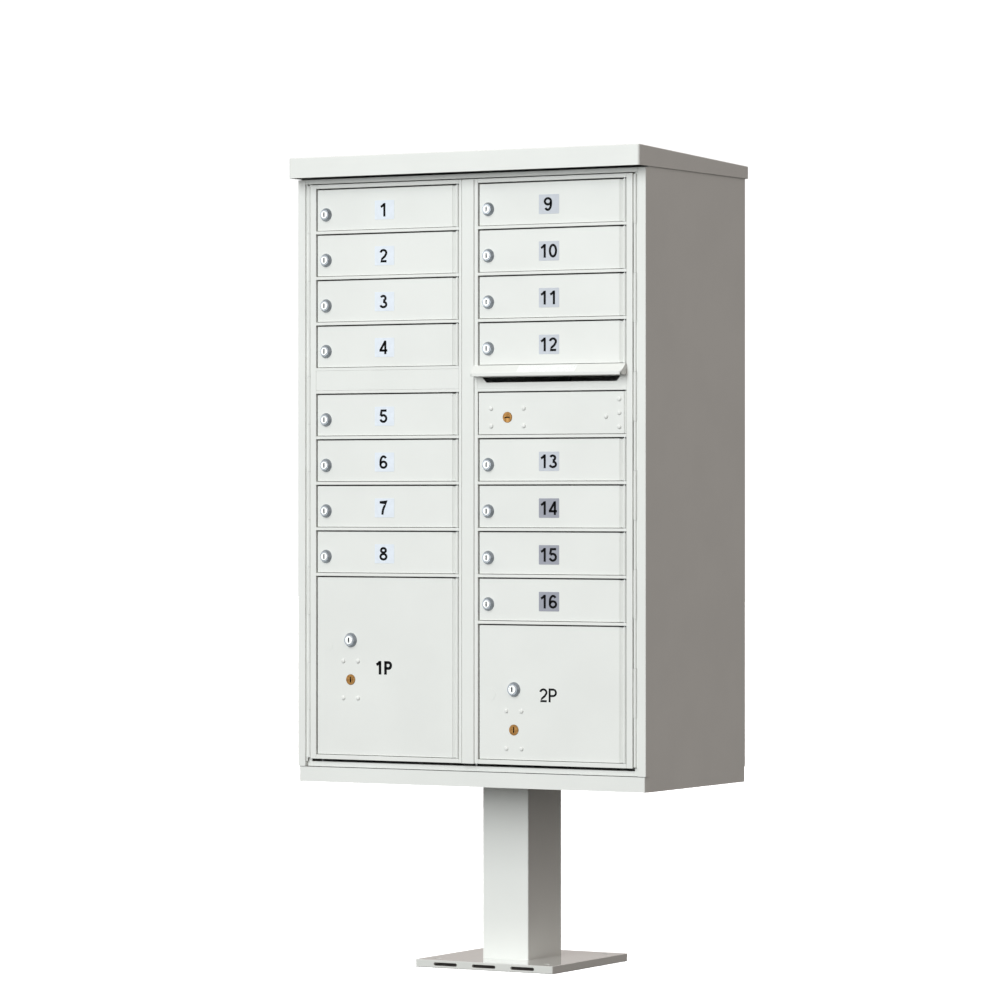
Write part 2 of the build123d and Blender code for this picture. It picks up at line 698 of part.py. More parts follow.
def door_tray(opening, zs):
    """Folded door leaf whose right edge slopes back to a rolled hinge barrel."""
    pivot = opening[1] - PIVOT_INSET
    left = opening[0] + SIDE_GAP
    right = pivot - VALLEY
    with BuildPart(mode=Mode.PRIVATE) as tray:
        block((left, right), (FACE, FACE + TRAY_DEPTH), zs)
        fillet(tray.edges().filter_by(Axis.Y), TRAY_CORNER)
        fillet(tray.faces().sort_by(Axis.Y)[0].edges(), TRAY_EDGE)
        inside_x = (left + SKIN, right - SKIN)
        inside_z = (zs[0] + SKIN, zs[1] - SKIN)
        block(inside_x, (FACE + SKIN, FACE + TRAY_DEPTH + PAST), inside_z, Mode.SUBTRACT)
        web(right, pivot, (zs[0] + WEB_INSET, zs[1] - WEB_INSET))
        upright(BARREL_R, pivot, PIVOT_Y, zs)
        upright(PIN_R + RUNNING, pivot, PIVOT_Y, (zs[0] - PAST, zs[1] + PAST), Mode.SUBTRACT)
    return tray.part


def web(right, pivot, zs):
    """Sloping strip between the leaf's edge and the hinge barrel."""
    near = FACE + TRAY_EDGE
    far = FACE + VALLEY_DEPTH
    foot = pivot - BARREL_R
    with BuildSketch(Plane.XY.offset(zs[0])) as strip:
        with BuildLine():
            Polyline(
                (right - SKIN / 2, near),
                (right, near),
                (foot, far),
                (pivot, far),
                (pivot, far + WEB),
                (foot, far + WEB),
                (right, near + WEB),
                (right - SKIN / 2, near + WEB),
                close=True,
            )
        make_face()
    extrude(strip.sketch, amount=zs[1] - zs[0])


def make_tenant_door(number, opening, row):
    zs = (line(row + 1) + BOTTOM_GAP, line(row) - TOP_GAP)
    lock_x = opening[0] + LOCK_INSET
    lock_z = line(row) - LOCK_DROP
    nose = FACE - PLUG_HEIGHT
    with BuildPart() as door:
        add(door_tray(opening, zs))
        lock_housing(lock_x, lock_z, BEZEL_R, BEZEL_NOSE_R, PLUG_R)
    finish(door, f"tenant_door_{number:02d}")
    name = f"tenant_lock_{number:02d}"
    make_lock(name, lock_x, lock_z, PLUG_R, nose, KEYWAY, TENANT_CAM, (0, 1))


def arrow_case(x, z, half_x, half_z, ys):
    """Lock case riveted behind a panel, bored for the arrow lock's cylinder."""
    along_y(ARROW_R + 2 * FIT, x, z, (FRONT - PAST, ys[0]), Mode.SUBTRACT)
    block((x - half_x, x + half_x), ys, (z - half_z, z + half_z))
    along_y(ARROW_R + RUNNING, x, z, (ys[0] - FIT, ys[1] + FIT), Mode.SUBTRACT)


def around(x, z, dx, dz):
    return [(x + i * dx, z + j * dz) for i in (-1, 1) for j in (-1, 1)]


def make_parcel_door(number, opening, row, arrow_cam):
    zs = (BOTTOM_RAIL_TOP + TOP_GAP, line(row) - TOP_GAP)
    lock_x = opening[0] + PARCEL_LOCK_INSET
    key_z = PARCEL_LOCK_Z[number - 1]
    arrow_z = PARCEL_ARROW_Z[number - 1]
    key_nose = FACE - PLUG_HEIGHT
    arrow_nose = FACE - ARROW_PROUD
    plug_x = lock_x + PLUGGED_OFFSET[0]
    plug_z = key_z + PLUGGED_OFFSET[1]
    with BuildPart() as door:
        add(door_tray(opening, zs))
        along_y(PLUGGED_HOLE_R, plug_x, plug_z, (FACE - PLUGGED_PROUD, FACE + PAST))
        lock_housing(lock_x, key_z, PARCEL_BEZEL_R, PARCEL_NOSE_R, PARCEL_PLUG_R)
        arrow_case(lock_x, arrow_z, *CASE_HALF, (FACE + CASE_GAP, LOCK_BACK))
        rivets(around(lock_x, arrow_z, *ARROW_RIVETS), FACE)
    finish(door, f"parcel_door_{number}")
    lock = f"parcel_lock_{number}"
    make_lock(lock, lock_x, key_z, PARCEL_PLUG_R, key_nose, KEYWAY, PARCEL_CAM, (0, 1))
    arrow_lock = f"parcel_arrow_lock_{number}"
    make_lock(arrow_lock, lock_x, arrow_z, ARROW_R, arrow_nose, ARROW_KEYWAY, *arrow_cam)


def make_mail_door():
    """Outgoing mail compartment door: a flat plate on a thin hinge."""
    zs = (line(MAIL_ROW + 1) + BOTTOM_GAP, line(MAIL_ROW) - TOP_GAP)
    pivot_x, pivot_y = MAIL_PIVOT
    lock_x, lock_z = MAIL_LOCK
    half_x, half_z = reversed(CASE_HALF)
    right = pivot_x - MAIL_BARREL_R - MAIL_HINGE_GAP
    leaf_y = (MAIL_FACE + MAIL_LEAF[0], MAIL_FACE + MAIL_LEAF[1])
    with BuildPart() as mail_door:
        block((MAIL_LEFT, right), (MAIL_FACE, MAIL_FACE + SKIN), zs)
        soften(TRAY_CORNER, Axis.Y)
        fillet(mail_door.faces().sort_by(Axis.Y)[0].edges(), EDGE)
        block((right - MAIL_LEAF_WIDTH, pivot_x), leaf_y, zs)
        upright(MAIL_BARREL_R, pivot_x, pivot_y, zs)
        bore_z = (zs[0] - PAST, zs[1] + PAST)
        upright(MAIL_PIN_R + RUNNING, pivot_x, pivot_y, bore_z, Mode.SUBTRACT)
        arrow_case(lock_x, lock_z, half_x, half_z, (MAIL_FACE + CASE_GAP, LOCK_BACK))
        rivets(around(lock_x, lock_z, *MAIL_ARROW_RIVETS) + MAIL_RIVETS, MAIL_FACE)
    finish(mail_door, "mail_door")
    nose = MAIL_FACE - ARROW_PROUD
    keyway = tuple(reversed(ARROW_KEYWAY))
    make_lock("mail_arrow_lock", lock_x, lock_z, ARROW_R, nose, keyway, MAIL_CAM, (1, 0))


# ---------------------------------------------------------------- pedestal

def make_pedestal_base():
    """Shallow pan that stands on the ground, with slots in its front and anchor holes."""
    front = PEDESTAL_Y - BASE_SIDE / 2
    inner = BASE_SIDE - 2 * BASE_SHEET
    with BuildPart() as base:
        with Locations((0, PEDESTAL_Y, BASE_HEIGHT / 2)):
            Box(BASE_SIDE, BASE_SIDE, BASE_HEIGHT)
        soften(BASE_CORNER, Axis.Z)
        fillet(base.faces().sort_by(Axis.Z)[-1].edges(), BASE_EDGE)
        chamfer(base.faces().sort_by(Axis.Z)[0].edges(), BASE_EDGE)
        with Locations((0, PEDESTAL_Y, (BASE_HEIGHT - BASE_SHEET) / 2)):
            Box(inner, inner, BASE_HEIGHT - BASE_SHEET, mode=Mode.SUBTRACT)
        with BuildSketch(Plane.XZ.offset(-front)):
            with Locations((0, BASE_SLOT_Z)):
                with GridLocations(BASE_SLOT_PITCH, 0, 3, 1):
                    SlotOverall(*BASE_SLOT)
        extrude(amount=-2 * BASE_SHEET, both=True, mode=Mode.SUBTRACT)
        with Locations((0, PEDESTAL_Y, BASE_HEIGHT)):
            with GridLocations(ANCHOR_SPACING, ANCHOR_SPACING, 2, 2):
                Cylinder(ANCHOR_R, 4 * BASE_SHEET, mode=Mode.SUBTRACT)
    finish(base, "pedestal_base")


def make_pedestal_post():
    """Rectangular tube with the plate that carries the cabinet welded on top."""
    cap_bottom = BODY_BOTTOM - CAP_SHEET
    inside = (POST_X - 2 * POST_WALL, POST_Y - 2 * POST_WALL)
    with BuildPart() as post:
        with BuildSketch(Plane.XY.offset(BASE_HEIGHT)):
            with Locations((0, PEDESTAL_Y)):
                RectangleRounded(POST_X, POST_Y, POST_CORNER)
                RectangleRounded(*inside, POST_CORNER / 2, mode=Mode.SUBTRACT)
        extrude(amount=cap_bottom - BASE_HEIGHT)
        with BuildSketch(Plane.XY.offset(cap_bottom)):
            with Locations((0, PEDESTAL_Y)):
                RectangleRounded(CAP_X, CAP_Y, CAP_CORNER)
                with GridLocations(STUD_X, STUD_Y, 2, 2):
                    Circle(STUD_R + FIT, mode=Mode.SUBTRACT)
        extrude(amount=CAP_SHEET)
    finish(post, "pedestal_post")


def studs_and_nuts():
    """Studs pressed into the pedestal's top plate, with nuts inside the floor pan."""
    cap_bottom = BODY_BOTTOM - CAP_SHEET
    pan_floor = BODY_BOTTOM + SHEET
    with BuildSketch(Plane.XY.offset(pan_floor + FIT)) as nuts:
        with Locations((0, PEDESTAL_Y)):
            with GridLocations(STUD_X, STUD_Y, 2, 2):
                RegularPolygon(NUT_R, 6)
    extrude(nuts.sketch, amount=NUT_HEIGHT)
    with BuildSketch(Plane.XY.offset(cap_bottom)) as studs:
        with Locations((0, PEDESTAL_Y)):
            with GridLocations(STUD_X, STUD_Y, 2, 2):
                Circle(STUD_R)
    extrude(studs.sketch, amount=pan_floor + STUD_TOP - cap_bottom)


def make_cabinet_hardware():
    """Loading door hinge pins, the four pedestal studs with nuts, and the rear rivets."""
    rear = BODY_HALF - SHEET - FIT - REAR_RIVET_INSET
    with BuildPart() as hardware:
        for side in (-1, 1):
            upright(HINGE_PIN_R, side * HINGE_X, HINGE_Y, HINGE_Z)
        studs_and_nuts()
        for x in (-rear, rear):
            for z in REAR_RIVET_Z:
                along_y(SHANK_R, x, z, (BACK - SHEET, BACK + FIT))
                turned(dome(BACK, 1) + [(RIVET_R, BACK + FIT), (0, BACK + FIT)], x, z)
    finish(hardware, "cabinet_hardware")


# ---------------------------------------------------------------- build

make_hood()
make_side_panel(-1, "side_panel_left")
make_side_panel(1, "side_panel_right")
make_rear_panel()
make_floor_pan()
make_face_frame()
make_compartment_walls()
make_compartment_shelves()
make_door_frame(-1, "left_door_frame")
make_door_frame(1, "right_door_frame")
make_left_bars()
make_right_bars()
make_pins()
make_latch_bar(LEFT_LATCH_X, "left_latch_bar")
make_latch_bar(RIGHT_LATCH_X, "right_latch_bar")
make_mail_slot_hood()
make_mail_door()
make_parcel_door(1, LEFT_OPENING, LEFT_PARCEL_ROW, (PARCEL_CAM, (0, -1)))
make_parcel_door(2, RIGHT_OPENING, RIGHT_PARCEL_ROW, (RAIL_CAM, (1, 0)))
for number, row in enumerate(LEFT_TENANTS, 1):
    make_tenant_door(number, LEFT_OPENING, row)
for number, row in enumerate(RIGHT_TENANTS, 1 + len(LEFT_TENANTS)):
    make_tenant_door(number, RIGHT_OPENING, row)
make_pedestal_base()
make_pedestal_post()
make_cabinet_hardware()
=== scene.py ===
"""Cluster mailbox unit: finishes, number labels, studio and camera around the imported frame.

Everything is in metres in the frame's own axes: +X right when facing the doors,
+Y to the back, +Z up, origin on the ground in the middle of the unit.
"""

import json
import math

import bpy
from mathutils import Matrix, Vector


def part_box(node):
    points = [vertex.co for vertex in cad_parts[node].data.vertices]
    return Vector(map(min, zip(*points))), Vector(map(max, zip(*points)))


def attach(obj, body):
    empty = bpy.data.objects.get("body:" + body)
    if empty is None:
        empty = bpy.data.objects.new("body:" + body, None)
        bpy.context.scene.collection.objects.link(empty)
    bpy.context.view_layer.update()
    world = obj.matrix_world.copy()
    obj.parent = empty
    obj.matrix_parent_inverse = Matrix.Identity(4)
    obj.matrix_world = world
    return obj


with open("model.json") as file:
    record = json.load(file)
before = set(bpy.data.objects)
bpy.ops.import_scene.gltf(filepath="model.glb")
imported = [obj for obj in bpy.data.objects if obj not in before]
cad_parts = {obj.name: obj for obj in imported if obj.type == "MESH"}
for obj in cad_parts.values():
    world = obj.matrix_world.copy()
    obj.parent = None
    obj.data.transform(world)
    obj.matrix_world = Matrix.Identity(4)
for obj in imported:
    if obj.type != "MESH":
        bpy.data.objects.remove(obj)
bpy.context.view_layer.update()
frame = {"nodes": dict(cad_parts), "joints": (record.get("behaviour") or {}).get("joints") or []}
nodes = frame["nodes"]

# ---------------------------------------------------------------- sizes of added pieces

CLEARANCE = 0.00005             # between a stuck-on piece and the face under it
PLATE_CORNER_STEPS = 6          # flats in each rounded corner of a label
PLATE_SIDE = 0.6                # upright part of a label's edge, as a part of its thickness
PLATE_EASE = 0.5                # inset of its front rim, as a part of its thickness

LABEL_WIDTH = 0.044
LABEL_HEIGHT = 0.037
LABEL_THICKNESS = 0.0003
LABEL_CORNER = 0.0015
LABEL_FROM_LEFT = 0.1523        # label centre from the door's left edge
LABEL_FROM_TOP = 0.0425         # label centre below the door's top edge
LAST_PALE_LABEL = 8             # labels up to here are pale
LAST_LAVENDER_LABEL = 13        # then lavender up to here, then grey

FIGURE_HEIGHT = 0.0262
FIGURE_THICKNESS = 0.00012
FIGURE_STROKE = 0.17            # line width of a figure, as a part of its height
FIGURE_WIDTH = 0.65             # as a part of its height, before stretching
FIGURE_ADVANCE = 0.72           # from one figure to the next
FIGURE_STRETCH = 1.06           # figures are this much wider than drawn
FIGURE_SHIFT = -0.0022          # single figures sit left of their label's centre
PAIR_SHIFT = -0.0012            # and pairs a little less
FIRST_PAIR = 10
ARC_STEPS = 14
RING_STEPS = 30
SAME_POINT = 1e-6               # a path whose ends are closer than this is closed
SHARPEST_MITRE = 0.5            # limits how far a stroke spreads at a bend

PARCEL_MARK_Z = {"1": 0.5820, "2": 0.5360}
PARCEL_MARK_STROKE = {"1": 0.21, "2": 0.15}

STICKER_WIDTH = 0.127           # blank sticker on the mail slot's sloping hood
STICKER_HEIGHT = 0.019
STICKER_FROM_LEFT = 0.50        # its centre, as a part of the hood's width

SKIRT_FRONT = 0.002             # side skirts start this far behind the floor pan's front
SKIRT_TAPER = 0.012             # and reach the side panels' plane this far behind that

# ---------------------------------------------------------------- where CAD faces get paint

TENANT_BEZEL = 0.0135           # just outside the bezels' radius
PARCEL_BEZEL = 0.0145
FACES_FRONT = 0.99              # a normal at least this straight to the front
SLOPES = 0.3                    # a normal at least this much to the front and up
KEYWAY_BACK = 0.0005            # keyway walls start this far behind the plug's face
KEYWAY_REACH = 0.012            # and end this far behind it
TAIL_LENGTH = 0.0075            # the steel tail and cam at the back of a lock
KEY_SLOT = (0.0016, 0.0049)     # half width and half height, just outside the keyway
ARROW_SLOT = (0.0015, 0.0057)


# ---------------------------------------------------------------- materials

RAMP = (0.35, 0.65)             # the part of the noise that a ramp spreads out

# Each noise is (features per metre, detail), each bump (strength, depth in metres).
PAINT_SHADE = 0.965             # the darker tone of the paint's mottling
PAINT_MOTTLE = (7.0, 5.0)
PAINT_SHEEN = (160.0, 4.0)
PEEL = (900.0, 2.0)             # orange peel
PEEL_DEPTH = 0.00012
WAVES = (9.0, 1.0)              # slight unevenness of the sheet
WAVE_BUMP = (0.06, 0.0012)
COAT_ROUGHNESS = 0.06

METAL_SHADE = 0.86
METAL_STAIN = (220.0, 6.0)
METAL_POLISH = (600.0, 3.0)
SCRATCHES = (1800.0, 2.0)
SCRATCH_BUMP = (0.12, 0.00005)

PRINT_SHADE = 0.94
PRINT_LIFT = 0.004              # keeps worn black ink from staying fully black
PRINT_MOTTLE = (90.0, 4.0)
PRINT_SHEEN = (300.0, 2.0)
PRINT_UNEVENNESS = 0.05         # of its roughness
RIPPLES = (150.0, 1.0)
RIPPLE_BUMP = (0.05, 0.0002)


class Shader:
    """A small helper that builds one node material."""

    def __init__(self, name):
        self.material = bpy.data.materials.new(name)
        self.material.use_nodes = True
        self.tree = self.material.node_tree
        self.bsdf = self.tree.nodes["Principled BSDF"]
        self.coords = self.tree.nodes.new("ShaderNodeTexCoord").outputs["Object"]

    def link(self, source, target):
        self.tree.links.new(source, target)

    def noise(self, scale, detail=3.0, stretch=(1, 1, 1)):
        """Noise with scale features per metre, times stretch along each axis."""
        mapping = self.tree.nodes.new("ShaderNodeMapping")
        mapping.inputs["Scale"].default_value = stretch
        self.link(self.coords, mapping.inputs["Vector"])
        texture = self.tree.nodes.new("ShaderNodeTexNoise")
        texture.inputs["Scale"].default_value = scale
        texture.inputs["Detail"].default_value = detail
        self.link(mapping.outputs["Vector"], texture.inputs["Vector"])
        return texture.outputs["Fac"]

    def ramp(self, source, low, high):
        """Maps noise between two colours or grey levels."""
        ramp = self.tree.nodes.new("ShaderNodeValToRGB")
        first, last = ramp.color_ramp.elements
        first.position, last.position = RAMP
        first.color = rgba(low)
        last.color = rgba(high)
        self.link(source, ramp.inputs["Fac"])
        return ramp.outputs["Color"]

    def bump(self, source, strength, distance):
        bump = self.tree.nodes.new("ShaderNodeBump")
        bump.inputs["Strength"].default_value = strength
        bump.inputs["Distance"].default_value = distance
        self.link(source, bump.inputs["Height"])
        return bump

    def set(self, **values):
        """Uniform values, straight on the shader's sockets."""
        for name, value in values.items():
            self.bsdf.inputs[name.replace("_", " ")].default_value = value


def rgba(value):
    """A grey level or a colour as the four numbers that sockets take."""
    if isinstance(value, (int, float)):
        return (value, value, value, 1.0)
    return (*value, 1.0)


def powder_coat(name, colour, rough=(0.36, 0.46), coat=0.0, peel_strength=0.10):
    """Satin powder coat: fine orange peel, faint mottling and uneven gloss."""
    s = Shader(name)
    shade = tuple(c * PAINT_SHADE for c in colour)
    s.link(s.ramp(s.noise(*PAINT_MOTTLE), shade, colour), s.bsdf.inputs["Base Color"])
    s.link(s.ramp(s.noise(*PAINT_SHEEN), *rough), s.bsdf.inputs["Roughness"])
    peel = s.bump(s.noise(*PEEL), peel_strength, PEEL_DEPTH)
    waves = s.bump(s.noise(*WAVES), *WAVE_BUMP)
    s.link(waves.outputs["Normal"], peel.inputs["Normal"])
    s.link(peel.outputs["Normal"], s.bsdf.inputs["Normal"])
    s.set(Coat_Weight=coat, Coat_Roughness=COAT_ROUGHNESS)
    return s.material


def plated(name, colour, rough, brushed=(1, 1, 1), tarnish=None):
    """Bare or plated metal with fine brushing and uneven polish."""
    s = Shader(name)
    stain = tarnish or tuple(c * METAL_SHADE for c in colour)
    s.link(s.ramp(s.noise(*METAL_STAIN), stain, colour), s.bsdf.inputs["Base Color"])
    s.link(s.ramp(s.noise(*METAL_POLISH, brushed), *rough), s.bsdf.inputs["Roughness"])
    scratches = s.bump(s.noise(*SCRATCHES, brushed), *SCRATCH_BUMP)
    s.link(scratches.outputs["Normal"], s.bsdf.inputs["Normal"])
    s.set(Metallic=1.0)
    return s.material


def printed(name, colour, rough, shine=0.5):
    """Vinyl label or ink: slight waviness and a faintly uneven print."""
    s = Shader(name)
    worn = tuple(c * PRINT_SHADE + PRINT_LIFT for c in colour)
    smooth, dull = rough - PRINT_UNEVENNESS, rough + PRINT_UNEVENNESS
    s.link(s.ramp(s.noise(*PRINT_MOTTLE), worn, colour), s.bsdf.inputs["Base Color"])
    s.link(s.ramp(s.noise(*PRINT_SHEEN), smooth, dull), s.bsdf.inputs["Roughness"])
    ripple = s.bump(s.noise(*RIPPLES), *RIPPLE_BUMP)
    s.link(ripple.outputs["Normal"], s.bsdf.inputs["Normal"])
    s.set(Specular_IOR_Level=shine)
    return s.material


paint = powder_coat("powder_coat", (0.800, 0.812, 0.785))
# The pedestal's base plate: a glossy coat, and a colour darker than the cabinet's paint as
# painted shade for its dimly lit top.
plate_paint_shaded = powder_coat(
    "powder_coat_gloss_shaded", (0.73, 0.74, 0.71), (0.05, 0.10), coat=1.0, peel_strength=0.01
)
chrome = plated("lock_chrome", (0.78, 0.80, 0.80), (0.14, 0.26))
bezel = plated("lock_bezel", (0.34, 0.37, 0.41), (0.26, 0.38))
brass = plated("arrow_brass", (0.37, 0.20, 0.068), (0.30, 0.42), tarnish=(0.20, 0.10, 0.032))
steel = plated("zinc_steel", (0.56, 0.57, 0.58), (0.30, 0.45), brushed=(1, 1, 0.05))
sheet = plated("mill_aluminium", (0.70, 0.71, 0.72), (0.34, 0.46), brushed=(0.05, 1, 1))
# Near black for the keyway's walls: painted shade inside the hole.
keyway_shade = printed("keyway_painted_shade", (0.012, 0.012, 0.013), 0.5)
LABEL_TINTS = {
    "pale": printed("label_pale", (0.78, 0.836, 0.914), 0.35),
    "lavender": printed("label_lavender", (0.57, 0.60, 0.66), 0.35),
    "grey": printed("label_grey", (0.32, 0.33, 0.39), 0.35),
}
ink = printed("print_black", (0.004, 0.004, 0.005), 0.60, shine=0.08)
sticker_vinyl = printed("sticker_white", (0.90, 0.91, 0.90), 0.30)


# ---------------------------------------------------------------- CAD nodes

def dress(node, *materials):
    """Gives a CAD node its materials; its faces keep the first until painted."""
    mesh = nodes[node].data
    mesh.materials.clear()
    for material in materials:
        mesh.materials.append(material)
    for polygon in mesh.polygons:
        polygon.material_index = 0


def axis_of(body):
    """The (x, z) of a body's joint."""
    joint = next(joint for joint in frame["joints"] if joint["child"] == body)
    return joint["pos_m"][0], joint["pos_m"][2]


PAINTED = [
    "hood", "side_panel_left", "side_panel_right", "rear_panel", "floor_pan", "face_frame",
    "left_door_frame", "left_door_bars", "right_door_frame", "right_door_bars",
    "mail_slot_hood", "pedestal_post",
]
STEEL = [
    "cabinet_hardware", "left_door_pins", "right_door_pins", "left_latch_bar", "right_latch_bar",
]
SHEETS = ["compartment_walls", "compartment_shelves"]
TENANTS = range(1, 17)
PARCELS = ("1", "2")

for name in PAINTED:
    dress(name, paint)
for name in STEEL:
    dress(name, steel)
for name in SHEETS:
    dress(name, sheet)
dress("pedestal_base", plate_paint_shaded)


def leaf_face(door):
    """Y of a door's flat front, behind the lock and the hinge barrel."""
    area = {}
    for polygon in nodes[door].data.polygons:
        if polygon.normal.y < -FACES_FRONT:
            key = round(polygon.center.y, 5)
            area[key] = area.get(key, 0.0) + polygon.area
    return max(area, key=area.get)


def paint_bezel(door, lock, reach):
    """A door's lock housing: faces around the lock's axis, off the door's flat front."""
    face = leaf_face(door)
    x, z = axis_of(lock)
    for polygon in nodes[door].data.polygons:
        at = polygon.center
        near = math.hypot(at.x - x, at.z - z) <= reach
        if near and abs(at.y - face) > CLEARANCE:
            polygon.material_index = 1


def dress_lock(name, face_material, slot_half):
    """A cylinder: bright plug face, keyway walls in near-black painted shade, steel tail and cam.
    """
    dress(name, face_material, keyway_shade, steel)
    x, z = axis_of(name)
    low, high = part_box(name)
    mesh = nodes[name].data
    for polygon in mesh.polygons:
        at = polygon.center
        inside = abs(at.x - x) <= slot_half[0] and abs(at.z - z) <= slot_half[1]
        if inside and KEYWAY_BACK < at.y - low.y < KEYWAY_REACH:
            polygon.material_index = 1
        elif at.y > high.y - TAIL_LENGTH:
            polygon.material_index = 2


for number in TENANTS:
    door, lock = f"tenant_door_{number:02d}", f"tenant_lock_{number:02d}"
    dress(door, paint, bezel)
    paint_bezel(door, lock, TENANT_BEZEL)
    dress_lock(lock, chrome, KEY_SLOT)
for number in PARCELS:
    door, lock = f"parcel_door_{number}", f"parcel_lock_{number}"
    dress(door, paint, bezel)
    paint_bezel(door, lock, PARCEL_BEZEL)
    dress_lock(lock, chrome, KEY_SLOT)
    dress_lock(f"parcel_arrow_lock_{number}", brass, ARROW_SLOT)
dress("mail_door", paint)
dress_lock("mail_arrow_lock", brass, ARROW_SLOT[::-1])


# ---------------------------------------------------------------- labels

def rounded_plate(name, width, height, thickness, corner):
    """A thin plate in the XZ plane facing -Y, with rounded corners and an eased front edge."""
    outline = []
    steps = PLATE_CORNER_STEPS
    for turn, (sx, sz) in enumerate(((1, 1), (-1, 1), (-1, -1), (1, -1))):
        cx = sx * (width / 2 - corner)
        cz = sz * (height / 2 - corner)
        for step in range(steps + 1):
            angle = math.pi / 2 * (turn + step / steps)
            outline.append((cx + corner * math.cos(angle), cz + corner * math.sin(angle)))
    rings = ((0.0, 0.0), (thickness * PLATE_SIDE, 0.0), (thickness, thickness * PLATE_EASE))
    verts = []
    for depth, inset in rings:
        shrink_x = 1 - 2 * inset / width
        shrink_z = 1 - 2 * inset / height
        verts += [(x * shrink_x, -depth, z * shrink_z) for x, z in outline]
    count = len(outline)
    faces = [tuple(range(count)), tuple(reversed(range(2 * count, 3 * count)))]
    for level in range(len(rings) - 1):
        for index in range(count):
            after = (index + 1) % count
            a, b = level * count + index, level * count + after
            faces.append((b, a, a + count, b + count))
    mesh = bpy.data.meshes.new(name)
    mesh.from_pydata(verts, [], faces)
    mesh.validate()
    return add_object(name, mesh)


def add_object(name, data):
    obj = bpy.data.objects.new(name, data)
    bpy.context.scene.collection.objects.link(obj)
    return obj


def arc(centre_x, centre_z, radius_x, radius_z, start, end, steps=ARC_STEPS):
    """Points of an elliptical arc, angles in degrees from +X."""
    points = []
    for step in range(steps + 1):
        angle = math.radians(start + (end - start) * step / steps)
        x = centre_x + radius_x * math.cos(angle)
        points.append((x, centre_z + radius_z * math.sin(angle)))
    return points


def ring(centre_x, centre_z, radius_x, radius_z):
    return arc(centre_x, centre_z, radius_x, radius_z, 0, 360, RING_STEPS)


def half_turned(paths):
    return [[(FIGURE_WIDTH - x, 1 - z) for x, z in path] for path in paths]


def glyphs(stroke):
    """Centre lines of each figure's strokes in a box FIGURE_WIDTH wide and 1 high.

    The numbers below are the drawing itself, in parts of the figure's height.
    """
    edge = stroke / 2
    top, right, middle = 1 - edge, FIGURE_WIDTH - edge, FIGURE_WIDTH / 2
    wide = middle - edge
    six = [
        ring(middle, 0.305, wide, 0.305 - edge),
        arc(middle + 0.01, 0.5, wide + 0.01, 0.5 - edge, 42, 180) + [(edge, 0.30)],
    ]
    return {
        "0": [ring(middle, 0.5, wide, 0.5 - edge)],
        "1": [
            [(0.40, 1.0), (0.40, 0.0)],
            [(0.38, 0.93), (0.30, 0.84), (0.21, 0.77), (0.11, 0.72)],
        ],
        "2": [
            arc(middle, 0.705, wide - 0.01, 0.295 - edge, 172, -28)
            + [(0.44, 0.45), (0.22, 0.27), (edge + 0.04, edge), (right + 0.01, edge)],
        ],
        "3": [
            arc(middle - 0.02, 0.745, wide - 0.05, 0.255 - edge, 158, -90),
            arc(middle - 0.01, 0.28, wide, 0.28 - edge, 95, -165),
        ],
        "4": [
            [(0.475, 1.0), (0.475, 0.0)],
            [(0.455, 0.93), (0.075, 0.285)],
            [(0.0, 0.27), (0.64, 0.27)],
        ],
        "5": [
            [(0.575, top), (0.175, top), (0.105, 0.52)],
            arc(middle - 0.01, 0.33, wide, 0.33 - edge, 140, -165),
        ],
        "6": six,
        "7": [[(0.02, top), (right + 0.005, top), (0.42, 0.66), (0.29, 0.36), (0.235, 0.0)]],
        "8": [
            ring(middle, 0.755, wide - 0.045, 0.245 - edge),
            ring(middle, 0.285, wide, 0.285 - edge),
        ],
        "9": half_turned(six),
        "P": [
            [(edge + 0.02, 0.0), (edge + 0.02, 1.0)],
            [(edge, top), (0.37, top)]
            + arc(0.37, (top + 0.46) / 2, 0.66 - 0.37 - edge, (top - 0.46) / 2, 90, -90)
            + [(edge, 0.46)],
        ],
    }


def stroke_solid(path, stroke, depth, verts, faces):
    """Adds a flat strip of even width that follows path, as a thin solid facing -Y."""
    closed = math.dist(path[0], path[-1]) < SAME_POINT
    count = len(path)
    first = len(verts)
    for index, (x, z) in enumerate(path):
        before = path[index - 1] if index else (path[-2] if closed else path[0])
        after = path[index + 1] if index < count - 1 else (path[1] if closed else path[-1])
        run = Vector((after[0] - before[0], after[1] - before[1])).normalized()
        ahead = Vector((after[0] - x, after[1] - z))
        spread = 1.0
        if ahead.length > 0 and (x, z) != before:
            spread = 1 / max(SHARPEST_MITRE, abs(run.dot(ahead.normalized())))
        side = Vector((-run.y, run.x)) * stroke / 2 * spread
        for sign in (1, -1):
            for y in (-depth / 2, depth / 2):
                verts.append((x + sign * side.x, y, z + sign * side.y))
    for index in range(count - 1):
        a = first + 4 * index
        b = a + 4
        faces += [(a, a + 2, b + 2, b), (a + 1, b + 1, b + 3, a + 3)]
        faces += [(a, b, b + 1, a + 1), (a + 2, a + 3, b + 3, b + 2)]
    last = first + 4 * (count - 1)
    faces += [(first, first + 1, first + 3, first + 2), (last, last + 2, last + 3, last + 1)]


